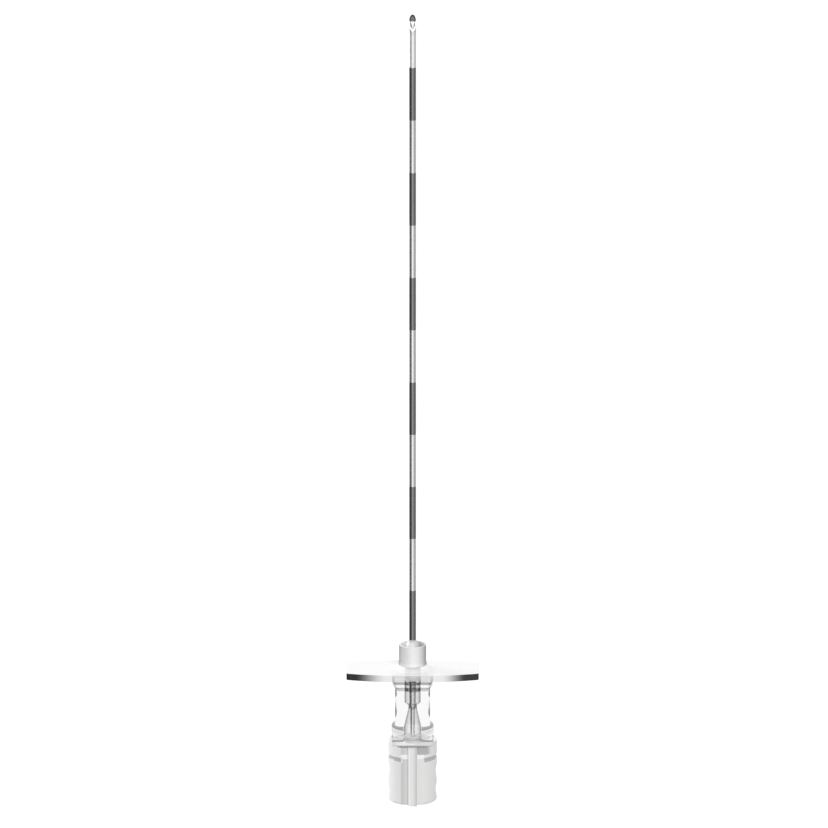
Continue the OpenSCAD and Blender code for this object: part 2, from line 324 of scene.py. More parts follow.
def height_band() -> Group:
    """Mask of a band of heights, in millimetres, whose two edges are smooth over the width Soft."""
    group = Group("height_band", {"Low": 0.0, "High": 1.0, "Soft": 0.1, "Strength": 1.0}, {"Mask": "Float"})
    half = add(group.tree, "Math", {0: group.enter["Soft"], 1: MM / 2}, operation="MULTIPLY").outputs[0]
    z = add(group.tree, "SeparateXYZ", {0: group.place}).outputs["Z"]
    mask = group.enter["Strength"]
    for side, (first, last) in {"Low": ("SUBTRACT", "ADD"), "High": ("ADD", "SUBTRACT")}.items():
        edge = add(group.tree, "Math", {0: group.enter[side], 1: MM}, operation="MULTIPLY").outputs[0]
        ends = [add(group.tree, "Math", {0: edge, 1: half}, operation=way).outputs[0] for way in (first, last)]
        ramp = add(group.tree, "MapRange", {"Value": z, "From Min": ends[0], "From Max": ends[1]},
                   interpolation_type="SMOOTHSTEP")
        mask = add(group.tree, "Math", {0: mask, 1: ramp.outputs[0]}, operation="MULTIPLY").outputs[0]
    group.give("Mask", mask)
    return group


class Workshop:
    """Holds the node groups that several finishes share."""

    def __init__(self) -> None:
        """Builds the groups once."""
        self.moulded = moulded_skin()
        self.drawn = drawn_lines()
        self.band = height_band()


class Recipe:
    """Node tree of one material, with the shaded point's place in millimetres."""

    def __init__(self, name: str, shop: Workshop) -> None:
        """Starts a material that holds its shader and the shaded point's place and normal.

        Args:
            name: Name of the material.
            shop: The shared node groups.
        """
        self.shop = shop
        self.material = bpy.data.materials.new(name)
        self.material.use_nodes = True
        self.tree = self.material.node_tree
        self.shader = self.tree.nodes["Principled BSDF"]
        where = add(self.tree, "TexCoord").outputs
        place = add(self.tree, "VectorMath", {0: where["Object"], "Scale": 1 / MM}, operation="SCALE").outputs[0]
        self.x, self.y, self.z = add(self.tree, "SeparateXYZ", {0: place}).outputs
        _, self.normal_y, self.normal_z = add(self.tree, "SeparateXYZ", {0: where["Normal"]}).outputs
        flat = add(self.tree, "VectorMath", {0: place, 1: (1.0, 1.0, 0.0)}, operation="MULTIPLY").outputs[0]
        self.radius = add(self.tree, "VectorMath", {0: flat}, operation="LENGTH").outputs["Value"]

    def math(self, operation: str, a: Number, b: Number = 0.0, clamp: bool = False) -> bpy.types.NodeSocket:
        """Result of a Math node on two numbers."""
        return add(self.tree, "Math", {0: a, 1: b}, operation=operation, use_clamp=clamp).outputs[0]

    def total(self, parts: list[Number]) -> bpy.types.NodeSocket:
        """Sum of several numbers, held between 0 and 1."""
        result = parts[0]
        for part in parts[1:]:
            result = self.math("ADD", result, part, clamp=True)
        return result

    def ramp(self, value: Number, low: Number, high: Number, end: float = 1.0) -> bpy.types.NodeSocket:
        """Smooth step from 0 at low to this end at high, also where high is the lower number."""
        return add(self.tree, "MapRange", {"Value": value, "From Min": low, "From Max": high, "To Max": end},
                   interpolation_type="SMOOTHSTEP").outputs[0]

    def above(self, value: Number, limit: float, soft: float = 0.1) -> bpy.types.NodeSocket:
        """1 above the limit and 0 below it, with a smooth step of this width between."""
        return self.ramp(value, limit - soft / 2, limit + soft / 2)

    def below(self, value: Number, limit: float, soft: float = 0.1) -> bpy.types.NodeSocket:
        """1 below the limit and 0 above it, with a smooth step of this width between."""
        return self.ramp(value, limit + soft / 2, limit - soft / 2)

    def mix(self, mask: Number, a: Number, b: Number) -> bpy.types.NodeSocket:
        """Number a where the mask is 0, and b where it is 1."""
        return add(self.tree, "Mix", {0: mask, 2: a, 3: b}).outputs[0]

    def tint(self, mask: Number, a: Color | bpy.types.NodeSocket, b: Color) -> bpy.types.NodeSocket:
        """Colour a where the mask is 0, and b where it is 1."""
        return add(self.tree, "Mix", {0: mask, 6: a, 7: b}, data_type="RGBA").outputs[2]

    def group(self, group: Group, **values: float) -> bpy.types.bpy_prop_collection:
        """Places a shared group, sets its inputs, whose names have underscores for spaces, and gives its outputs."""
        node = self.tree.nodes.new("ShaderNodeGroup")
        node.node_tree = group.tree
        for label, value in values.items():
            node.inputs[label.replace("_", " ")].default_value = value
        return node.outputs

    def bands(self, bands: Bands) -> bpy.types.NodeSocket:
        """Sum of masks of bands of heights, each given as its low and high edge, softness and strength."""
        masks = [self.group(self.shop.band, Low=low, High=high, Soft=soft, Strength=strength)["Mask"]
                 for low, high, soft, strength in bands]
        return self.total(masks)

    def size(self, value: Number) -> bpy.types.NodeSocket:
        """Size of a number without its sign."""
        return self.math("ABSOLUTE", value)

    def both(self, *masks: Number) -> bpy.types.NodeSocket:
        """Product of masks."""
        result = masks[0]
        for mask in masks[1:]:
            result = self.math("MULTIPLY", result, mask)
        return result

    def upright(self) -> bpy.types.NodeSocket:
        """1 on walls, 0 on faces that look up or down."""
        return self.ramp(self.size(self.normal_z), 0.85, 0.6)

    def turned_to(self, part: bpy.types.NodeSocket) -> bpy.types.NodeSocket:
        """1 on faces whose normal has more than about half of its length in this part, 0 on the others."""
        return self.ramp(part, 0.3, 0.6)

    def facing(self) -> bpy.types.NodeSocket:
        """0 where the surface is seen square on, 1 where it is seen edge on."""
        return add(self.tree, "LayerWeight").outputs["Facing"]

    def seen_side(self) -> bpy.types.NodeSocket:
        """1 where the surface is seen from outside, 0 from within the plastic, and little for a lamp's shadow."""
        shadow_share = 0.15
        outside = self.math("SUBTRACT", 1.0, add(self.tree, "NewGeometry").outputs["Backfacing"])
        return self.both(outside, self.mix(add(self.tree, "LightPath").outputs["Is Shadow Ray"], 1.0, shadow_share))

    def rim(self, strength: float, limit: float) -> bpy.types.NodeSocket:
        """Painted shade that grows towards the edge of a round clear form, up to a limit."""
        return self.math("MINIMUM", self.math("MULTIPLY", self.facing(), strength), limit)

    def feed(self, **inputs: object) -> bpy.types.Material:
        """Sets or joins the shader's inputs, whose names have underscores for spaces, and gives the material."""
        for label, value in inputs.items():
            socket = self.shader.inputs[label.replace("_", " ")]
            if isinstance(value, bpy.types.NodeSocket):
                self.tree.links.new(value, socket)
            else:
                socket.default_value = value
        return self.material


@dataclass(frozen=True)
class Finish:
    """A surface finish, which makes its own material."""

    name: str

    def build(self, shop: Workshop) -> bpy.types.Material:
        """Builds the material.

        Args:
            shop: The shared node groups.

        Returns:
            The material.
        """
        return self.mixed(Recipe(self.name, shop))

    def mixed(self, r: Recipe) -> bpy.types.Material:
        """Fills the recipe and gives its material."""
        raise NotImplementedError


@dataclass(frozen=True)
class HubPlastic(Finish):
    """Clear plastic of the hub. Its own edges, those of its bore and lines at its steps are painted shade, dark lines
    as refraction and shadow show them in a clear moulding.
    """

    name: str = "clear_hub"
    # colour of the plastic's grey film and of its painted shade lines
    tint_and_shade: Color = (0.015, 0.015, 0.016, 1.0)
    film: float = 0.15
    bore_r: float = 2.2
    bore_rim: float = 1.05
    bore_rim_limit: float = 0.78
    well_z: float = 18.4
    outer_rim: float = 0.45
    outer_rim_facing: tuple[float, float] = (0.7, 0.98)
    outer_shade_bands: Bands = ()
    ring_shade_bands: Bands = ()
    front_shade_bands: Bands = ()
    front_y: float = -2.45
    side_x: float = 1.65
    plate_z: float = 12.1
    plate_film: float = 0.03
    bore_shade_bands: Bands = ()
    pockets: tuple[tuple[float, float, float], ...] = ()
    pocket_shade: float = 0.6
    pocket_y: float = 2.0

    def mixed(self, r: Recipe) -> bpy.types.Material:
        """Fills the recipe and gives its material."""
        skin = r.group(r.shop.moulded, Ripple_depth=0.000001)
        upright = r.upright()
        # painted shade: dark rims and bands in the bore, dark outer edges, lines at plate, undercut, lug ring and
        # flange, and the pockets' shade; the film is the plastic's own tint
        rim = r.both(r.rim(self.bore_rim, self.bore_rim_limit), r.below(r.z, self.well_z))
        bore = r.both(r.total([rim, r.bands(self.bore_shade_bands)]), upright)
        edge = r.ramp(r.facing(), *self.outer_rim_facing, self.outer_rim)
        front = r.both(r.bands(self.front_shade_bands), r.below(r.y, self.front_y))
        beside = r.both(r.total([front, r.bands(self.ring_shade_bands)]), r.above(r.size(r.x), self.side_x, 0.3))
        marks = r.total([edge, r.bands(self.outer_shade_bands), self._pocket_shade(r)])
        film = r.mix(r.above(r.z, self.plate_z + 0.1, 0.2), self.plate_film, self.film)
        outer = r.total([film, r.both(marks, upright), beside])
        alpha = r.mix(r.below(r.radius, self.bore_r, 0.2), outer, bore)
        return r.feed(Base_Color=self.tint_and_shade, Alpha=r.both(alpha, r.seen_side()),
                      Roughness=r.math("MULTIPLY", skin["Tone"], 0.12), Normal=skin["Normal"], IOR=1.49)

    def _pocket_shade(self, r: Recipe) -> bpy.types.NodeSocket:
        """Shade of the finger pockets on the corners in front of them, inside the circle that cuts each pocket."""
        x = r.size(r.x)
        shades = []
        for middle_x, middle_z, cut_r in self.pockets:
            across, up = r.math("SUBTRACT", x, middle_x), r.math("SUBTRACT", r.z, middle_z)
            flat = add(r.tree, "CombineXYZ", {0: across, 1: up}).outputs[0]
            distance = add(r.tree, "VectorMath", {0: flat}, operation="LENGTH").outputs["Value"]
            shades.append(r.ramp(distance, cut_r + 0.05, cut_r - 0.1, self.pocket_shade))
        return r.both(r.total(shades), r.above(r.size(r.y), self.pocket_y))


@dataclass(frozen=True)
class WingPlastic(Finish):
    """Plastic of the wings: pale on top, clear below, with painted shade on the long edges that turns dark towards
    the ends.
    """

    name: str = "clear_wing"
    pale: Color = (0.92, 0.92, 0.915, 1.0)
    tint_and_shade: Color = (0.006, 0.006, 0.006, 1.0)
    top: float = 0.6
    film: float = 0.06
    edge: float = 0.26
    end_shade: float = 0.985
    dark_left: tuple[float, float] = (-4.6, -10.6)
    dark_right: tuple[float, float] = (5.2, 9.8)
    edge_y: float = 3.15

    def mixed(self, r: Recipe) -> bpy.types.Material:
        """Fills the recipe and gives its material."""
        skin = r.group(r.shop.moulded, Ripple_depth=0.000001)
        top = r.turned_to(r.normal_z)
        # painted shade: the long edges are grey in the middle and nearly black towards both ends
        long_edge = r.both(r.turned_to(r.size(r.normal_y)), r.above(r.size(r.y), self.edge_y, 0.3))
        ends = r.total([r.ramp(r.x, *self.dark_left), r.ramp(r.x, *self.dark_right)])
        side = r.mix(long_edge, self.film, r.mix(ends, self.edge, self.end_shade))
        return r.feed(Base_Color=r.tint(top, self.tint_and_shade, self.pale), Normal=skin["Normal"], IOR=1.49,
                      Alpha=r.both(r.mix(top, side, self.top), r.seen_side()),
                      Roughness=r.math("MULTIPLY", skin["Tone"], 0.4))


@dataclass(frozen=True)
class SleevePlastic(Finish):
    """Milky plastic above the wings that is clear where the bond wets it, on the spigot in the hub. Its wall and cup
    and the clear part's edges carry painted shade.
    """

    name: str = "sleeve_plastic"
    milk: Color = (0.93, 0.935, 0.935, 1.0)
    tint_and_shade: Color = (0.015, 0.015, 0.016, 1.0)
    clear_below: float = 25.0
    film: float = 0.03
    rim: float = 1.1
    rim_limit: float = 0.75
    bands: Bands = ()
    bore_r: float = 0.9
    wall_rim_shade: float = 0.95
    wall_r: float = 2.3
    cup_r: float = 2.2
    cup_floor: float = 27.5
    cup_shade: float = 0.3

    def mixed(self, r: Recipe) -> bpy.types.Material:
        """Fills the recipe and gives its material."""
        skin = r.group(r.shop.moulded)
        milky = r.above(r.z, self.clear_below, 0.4)
        # painted shade on the clear part: its edges darken by facing, and the hub's edges are painted on it as bands
        rim = r.rim(self.rim, self.rim_limit)
        clear = r.both(r.total([rim, self.film, r.bands(self.bands)]), r.seen_side(), r.upright())
        not_bore = r.total([r.above(r.radius, self.bore_r), r.above(r.z, self.cup_floor - 0.3, 0.2)])
        # painted shade inside the cup, darker towards +X
        in_cup = r.both(r.ramp(r.radius, self.cup_r, self.cup_r - 0.05), r.ramp(r.x, -1.0, 1.5, self.cup_shade),
                        r.above(r.z, self.cup_floor, 0.2))
        wall = r.above(r.radius, self.wall_r + 0.05)
        # painted shade: the milky outer wall darkens towards its edges
        dark = r.total([r.both(r.facing(), r.upright(), wall, self.wall_rim_shade), in_cup])
        return r.feed(Base_Color=r.tint(r.mix(r.ramp(milky, 0.0, 0.2), 1.0, dark), self.milk, self.tint_and_shade),
                      Alpha=r.both(r.mix(milky, clear, 1.0), not_bore),
                      Roughness=r.math("MULTIPLY", skin["Tone"], 0.6), Normal=skin["Normal"], IOR=1.5)


@dataclass(frozen=True)
class MilkyPlastic(Finish):
    """Pale moulded plastic or cured bond that lets a little light through."""

    color: Color
    roughness: float = 0.35
    subsurface: float = 0.2
    tone: float = 0.03

    def mixed(self, r: Recipe) -> bpy.types.Material:
        """Fills the recipe and gives its material."""
        skin = r.group(r.shop.moulded)
        dark = tuple(c * (1 - self.tone) for c in self.color[:3]) + (1.0,)
        return r.feed(Base_Color=self._marked(r, r.tint(skin["Tone"], dark, self.color)), Normal=skin["Normal"],
                      Roughness=self.roughness, Subsurface_Weight=self.subsurface,
                      Subsurface_Radius=(1.0, 1.0, 1.0), Subsurface_Scale=1.2 * MM, IOR=1.5)

    def _marked(self, r: Recipe, color: bpy.types.NodeSocket) -> bpy.types.NodeSocket:
        """Colour of the piece, with the painted shade and light that some pieces add; none here."""
        return color


@dataclass(frozen=True)
class CapPlastic(MilkyPlastic):
    """Pearly plastic of the cap, with painted shade in its groove, channel, head and on the rib, a painted shadow of
    the hub's plate, and painted light on the rib, in two patches in the channel and on the seat under the hub.
    """

    shade: Color = (0.2, 0.2, 0.2, 1.0)
    light: Color = (1.0, 1.0, 1.0, 1.0)
    groove: tuple[float, float] = (8.2, 9.0)
    groove_shade: float = 0.52
    light_patch: tuple[float, float] = (8.85, 9.7)
    channel_x: float = 2.2
    channel_shade: float = 0.32
    rib_x: float = 0.8
    seat_z: float = 11.2
    seat_x: float = 3.5
    seat_y: float = -3.5
    seat_shade: float = 0.75
    head_x: float = 3.1
    head_shade: float = 0.55
    rib_y: float = -4.1
    rib_shade: float = 0.36
    rib_light: float = 1.0

    def _marked(self, r: Recipe, color: bpy.types.NodeSocket) -> bpy.types.NodeSocket:
        """Adds painted shade to groove, channel, rib and head and the plate's painted shadow, and painted light to
        the rib, the channel's patches and the seat under the hub.
        """
        width = r.size(r.x)
        front = r.ramp(r.normal_y, -0.93, -0.98)
        flat = r.both(front, r.above(width, self.rib_x + 0.03, 0.06), r.below(width, self.channel_x, 0.08))
        # painted shade in the groove beyond the channel
        groove = r.both(r.bands(((*self.groove, 0.06, self.groove_shade),)), r.above(width, self.channel_x, 0.2))
        # painted shade on the channel's left flat
        left = r.both(flat, r.ramp(r.x, 0.0, -self.channel_x, self.channel_shade))
        # painted shade on the head right of the rib
        head = r.both(r.bands(((self.light_patch[1], self.seat_z - 0.1, 0.1, self.head_shade),)),
                      r.above(r.x, self.rib_x + 0.05), r.below(r.x, self.head_x, 1.0))
        # painted shadow of the hub's plate on the seat's front edge
        seat = r.both(r.bands(((self.seat_z - 0.14, self.seat_z + 0.02, 0.04, self.seat_shade),)),
                      r.below(width, self.seat_x - 0.05), r.below(r.y, self.seat_y, 0.2))
        rib = r.below(r.y, self.rib_y, 0.2)
        # painted shade on the rib's right side and a painted highlight on its left side
        right = r.both(rib, r.ramp(r.x, 0.0, self.rib_x, self.rib_shade))
        lit = r.both(rib, r.ramp(r.x, -0.4 * self.rib_x, -self.rib_x, self.rib_light))
        dark = r.tint(r.total([groove, left, head, seat, right]), color, self.shade)
        # painted light: two patches on the channel at the groove's height, and the seat under the hub
        light_patch = r.both(r.bands(((*self.light_patch, 0.06, 1.0),)), flat)
        under_hub_light = r.both(r.ramp(r.normal_z, 0.7, 0.95), r.above(r.z, self.seat_z - 0.05),
                           r.above(r.y, self.seat_y + 0.1, 0.2))
        return r.tint(r.total([light_patch, under_hub_light, lit]), dark, self.light)


@dataclass(frozen=True)
class Steel(Finish):
    """Drawn steel, plain or with dark depth bands, matt stretches and painted shade at the point."""

    color: Color = (0.80, 0.80, 0.80, 1.0)
    roughness: float = 0.2
    dark_color: Color = (0.25, 0.25, 0.255, 1.0)
    dark_bands: Bands = ()
    matt_bands: Bands = ()
    matt: float = 0.5
    matt_color: Color = (0.86, 0.86, 0.86, 1.0)
    tip_shade_color: Color = (0.04, 0.04, 0.04, 1.0)
    tip_shade_bands: Bands = ()

    def mixed(self, r: Recipe) -> bpy.types.Material:
        """Fills the recipe and gives its material."""
        lines = r.group(r.shop.drawn)
        color: Color | bpy.types.NodeSocket = self.color
        # depth bands and matt stretches are the steel's own; the tip's bands are painted shade
        for bands, shade in ((self.matt_bands, self.matt_color), (self.dark_bands, self.dark_color),
                             (self.tip_shade_bands, self.tip_shade_color)):
            if bands:
                color = r.tint(r.bands(bands), color, shade)
        rough: Number = r.math("MULTIPLY", r.math("ADD", lines["Lines"], 0.5), self.roughness)
        if self.matt_bands:
            rough = r.mix(r.bands(self.matt_bands), rough, self.matt)
        return r.feed(Base_Color=color, Metallic=1.0, Roughness=rough, Normal=lines["Normal"])


@dataclass
class Piece:
    """A visible piece of the needle that stands for one node of the frame."""

    name: str
    node: str
    body: Body
    slot: str

    def shells(self) -> list[Shell]:
        """Closed shells of the piece, in millimetres."""
        raise NotImplementedError

    def finish(self) -> Finish:
        """The finish of the piece."""
        raise NotImplementedError

    def build(self) -> bpy.types.Object:
        """Builds the piece's mesh and hides the node that it stands for."""
        piece = smooth_mesh(self.name, self.shells())
        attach(piece, self.body.value)
        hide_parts(self.node)
        return piece

    def dress(self, piece: bpy.types.Object, shop: Workshop) -> None:
        """Gives the piece its material."""
        piece.data.materials.append(self.finish().build(shop))
        log.info("%s: %d faces, %s", self.name, len(piece.data.polygons), self.finish().name)


@dataclass
class StyletCap(Piece):
    """Cap with a flat channel and pointer rib in front, finger scallops at the sides, and ears and plug on top."""

    name: str = "stylet_cap_moulding"
    node: str = "stylet_cap"
    body: Body = Body.STYLET
    slot: str = "cap_plastic"
    cap_r: float = 4.5
    body_h: float = 8.2
    groove_h: float = 0.8
    groove_d: float = 0.2
    head_h: float = 2.2
    edge_r: float = 0.5
    channel_d: float = 0.56
    rib_w: float = 1.58
    rib_proud: float = 0.38
    rib_drop: float = 0.2
    rib_edge: float = 0.2
    scallop_z: tuple[float, ...] = (2.0, 5.6)
    scallop_l: float = 2.9
    scallop_d: float = 0.25
    ear_h: float = 0.4
    ear_w: float = 5.4
    ear_x: float = 3.75
    plug_h: float = 1.0
    plug_r: float = 1.61
    plug_top_r: float = 1.585
    hole_r: float = 0.615
    hole_z: float = 3.035
    ease: float = 0.08
    back_points: int = 300
    front_points: int = 38
    ear_points: int = 40

    def shells(self) -> list[Shell]:
        """The cap and its two ears."""
        ears = [shell(self._ear(side), Ends.POLES) for side in (-1, 1)]
        return [shell(self._cap(), Ends.POLES)] + ears

    @property
    def seat(self) -> float:
        """Height of the face that the hub stands on."""
        return self.body_h + self.groove_h + self.head_h

    def _cap(self) -> Array:
        """Rings from the middle of the bottom, up the outside, over the top and down into the wire's hole."""
        seat = self.seat
        groove_r = self.cap_r - self.groove_d
        side = eased(np.array([
            [self.cap_r / 2, 0], [self.cap_r, 0], [self.cap_r, self.body_h], [groove_r, self.body_h],
            [groove_r, self.body_h + self.groove_h], [self.cap_r, self.body_h + self.groove_h],
            [self.cap_r, seat], [self.cap_r / 2, seat]]),
            np.array([0, self.edge_r, self.ease, self.ease, self.ease, self.ease, self.ease, 0]))
        fine = np.arange(self.edge_r, self.body_h - self.ease, 0.1)
        rib_top = seat - self.rib_drop
        extra = np.array([rib_top - self.ease, rib_top, rib_top + 0.001])
        side = self._with_heights(side, np.concatenate([fine, extra]))
        outline = np.stack([self._outline(r, z, z <= rib_top) for r, z in side[1:-1]])
        angles = np.arctan2(outline[0, :, 1], outline[0, :, 0])
        top = eased(np.array([
            [self.cap_r * 0.6, seat], [self.plug_r, seat], [self.plug_top_r, seat + self.plug_h],
            [self.hole_r, seat + self.plug_h], [self.hole_r, self.hole_z], [0.1, self.hole_z]]), self.ease / 2)
        inner = ringed(top, angles)
        low = polar(np.zeros(1), np.full((1, len(angles)), 0.3), angles)
        return np.concatenate([low, outline, inner])

    def _with_heights(self, side: Array, levels: Array) -> Array:
        """Adds rings at more heights to the straight parts of the side.

        Args:
            side: Rows of radius and height, going up.
            levels: Heights to add.

        Returns:
            The side with a row for each new height, where no two rows are at the same height.
        """
        free = levels[np.min(np.abs(levels[:, None] - side[None, :, 1]), axis=1) > 0.0005]
        extra = np.stack([np.interp(free, side[:, 1], side[:, 0]), free], axis=1)
        rows = np.vstack([side, extra])
        order = np.argsort(np.concatenate([np.arange(len(side)), np.searchsorted(side[:, 1], free) - 0.5]),
                           kind="stable")
        return rows[order]

    def _outline(self, r: float, z: float, rib: bool) -> Array:
        """Outline of the cap at one height: the round back, then flat, rib and flat in front.

        The back is a circle whose x stays within the scallops, |x| <= limit. The channel is the chord y = -flat.

        Args:
            r: Radius of the round part.
            z: Height.
            rib: Whether the rib stands in front of the channel.

        Returns:
            Points of the outline, anticlockwise from the channel's right edge.
        """
        half = self.rib_w / 2
        flat = self.cap_r - self.channel_d
        edge_x = max(math.sqrt(max(r**2 - flat**2, 0)), half + self.ease)
        flat = math.sqrt(r**2 - edge_x**2)
        front = self.cap_r + self.rib_proud if rib else flat
        start = math.atan2(-flat, edge_x)
        a = np.linspace(start, math.pi - start, self.back_points)
        back = np.stack([r * np.cos(a), r * np.sin(a)], axis=1)
        limit = self._side_limit(z)
        back[:, 0] = np.clip(back[:, 0], -limit, limit)
        ease = min(self.rib_edge, (front - flat) * 0.45)
        left = eased(np.array([
            [-edge_x, -flat], [-half, -flat], [-half, -front], [half, -front], [half, -flat], [edge_x, -flat]]),
            np.array([0, 0.05, max(ease, 1e-4), max(ease, 1e-4), 0.05, 0])) if front > flat else None
        if left is None:
            x = np.linspace(-edge_x, edge_x, self.front_points)
            left = np.stack([x, np.full_like(x, -flat)], axis=1)
        ring = np.vstack([back, left[1:-1]])
        return np.column_stack([ring, np.full(len(ring), z)])

    def _side_limit(self, z: float) -> float:
        """Largest |x| at a height: the cap's radius, less the circle of a scallop where one is cut."""
        cut_r = ((self.scallop_l / 2) ** 2 + self.scallop_d**2) / (2 * self.scallop_d)
        limit = self.cap_r
        for middle in self.scallop_z:
            if abs(z - middle) < self.scallop_l / 2:
                limit = self.cap_r + cut_r - self.scallop_d - math.sqrt(cut_r**2 - (z - middle) ** 2)
        return limit

    def _ear(self, side: int) -> Array:
        """Rings of one ear: the slice of the cap's circle beyond x = ear_x, going up with an eased top."""
        half = math.asin(self.ear_w / 2 / self.cap_r)
        a = np.linspace(-half, half, self.ear_points)
        arc = np.stack([self.cap_r * np.cos(a), self.cap_r * np.sin(a)], axis=1)
        y = np.linspace(arc[-1, 1], arc[0, 1], self.ear_points // 2 + 2)[1:-1]
        back = np.stack([np.full_like(y, self.ear_x), y], axis=1)
        ring = np.vstack([arc, back]) * np.array([side, 1])
        middle = ring.mean(axis=0)
        shrink = eased(np.array([[0, -self.ease], [0, self.ear_h], [0.2, self.ear_h]]), self.ease)
        scale = (1 - shrink[:, 0])[:, None, None]
        flat = middle + (ring - middle)[None] * scale
        z = np.broadcast_to(self.seat + shrink[:, 1][:, None, None], flat[..., :1].shape)
        return np.concatenate([flat, z], axis=-1)

    def finish(self) -> CapPlastic:
        """Pearly white plastic, with painted shade and painted light."""
        return CapPlastic("cap_plastic", (0.85, 0.85, 0.845, 1.0), roughness=0.35, subsurface=0.1,
                          groove=(self.body_h, self.body_h + self.groove_h),
                          light_patch=(self.body_h + 0.65, self.body_h + 1.5), seat_z=self.seat,
                          channel_x=math.sqrt(self.cap_r**2 - (self.cap_r - self.channel_d) ** 2),
                          rib_x=self.rib_w / 2)


@dataclass
class StyletWire(Piece):
    """Solid wire that fills the tube's bore up to the bevelled opening."""

    name: str = "stylet_rod"
    node: str = "stylet_wire"
    body: Body = Body.STYLET
    slot: str = "stylet_steel"
    wire_r: float = 0.45
    tip_r: float = 0.48
    low_z: float = 3.2
    columns: int = 72

    def shells(self) -> list[Shell]:
        """The wire, with its slanted end."""
        return [shell(self._rod(), Ends.POLES)]

    def _rod(self) -> Array:
        """Rings up the wire, whose last stretch stays inside the curved bore and ends on the bevel's plane."""
        point = Point()
        a = np.linspace(0, 2 * np.pi, self.columns, endpoint=False)
        straight = turned(eased(np.array([
            [0.2, self.low_z], [self.wire_r, self.low_z], [self.wire_r, point.bend_z]]), 0.04), len(a))

        def place(z: Array) -> Array:
            """Point on the wire at a height, for each column."""
            drop = point.bend_r - np.sqrt(point.bend_r**2 - (z - point.bend_z) ** 2)
            x = self.wire_r * np.cos(a)
            y = np.minimum(self.wire_r * np.sin(a), np.sqrt(self.tip_r**2 - x**2) - drop)
            return np.stack([x, y, z], axis=-1)

        end = point.cut(place, np.full(len(a), point.bend_z), np.full(len(a), point.tip_z))
        share = np.concatenate([np.linspace(0, 0.99, 24)[1:], [0.998, 1.0]])  # the last two hold the rim's edge sharp
        tip = np.stack([place(point.bend_z + s * (end - point.bend_z)) for s in share])
        return np.concatenate([straight, tip])

    def finish(self) -> Steel:
        """Bright drawn wire, with painted shade where its slanted end meets the top of the bore."""
        top = heights("cannula")[1]
        return Steel("stylet_steel", color=(0.92, 0.92, 0.92, 1.0), roughness=0.16,
                     matt_bands=((top - 3.2, top - 1.3, 0.4, 0.7),),
                     tip_shade_bands=((top - 1.3, top + 1.0, 0.4, 0.85),))


@dataclass
class Point:
    """The needle's point: where the tube starts to curve, and the plane of its bevel."""

    tube_r: float = 0.635
    bend_r: float = 14.0
    bevel_l: float = 3.1

    @property
    def tip_z(self) -> float:
        """Height of the point."""
        return heights("cannula")[1]

    @property
    def turn(self) -> float:
        """Angle that the curve turns through before its outer side is back on the needle's axis."""
        return math.acos(self.bend_r / (self.bend_r + self.tube_r))

    @property
    def bend_z(self) -> float:
        """Height at which the curve starts."""
        return self.tip_z - (self.bend_r + self.tube_r) * math.sin(self.turn)

    @property
    def bevel_turn(self) -> float:
        """Angle between the bevel and the needle's axis: its heel lies on the front of the curved tube."""
        rise = self.tip_z - self.bevel_l - self.bend_z
        heel_y = math.sqrt((self.bend_r - self.tube_r) ** 2 - rise**2) - self.bend_r
        return math.atan(-heel_y / self.bevel_l)

    def cut(self, place: Callable[[Array], Array], low: Array, high: Array) -> Array:
        """Finds where lines up the needle meet the bevel's plane, by halving.

        Args:
            place: Function that gives the points at an array of positions along the lines.
            low: Position on each line below the bevel.
            high: Position on each line above the bevel.

        Returns:
            The position of each line's end.
        """
        normal = np.array([0, math.cos(self.bevel_turn), -math.sin(self.bevel_turn)])
        tip = np.array([0, 0, self.tip_z])
        low, high = low.copy(), high.copy()
        halvings = 40
        for _ in range(halvings):
            middle = (low + high) / 2
            behind = (place(middle) - tip) @ normal > 0
            low, high = np.where(behind, middle, low), np.where(behind, high, middle)
        return low


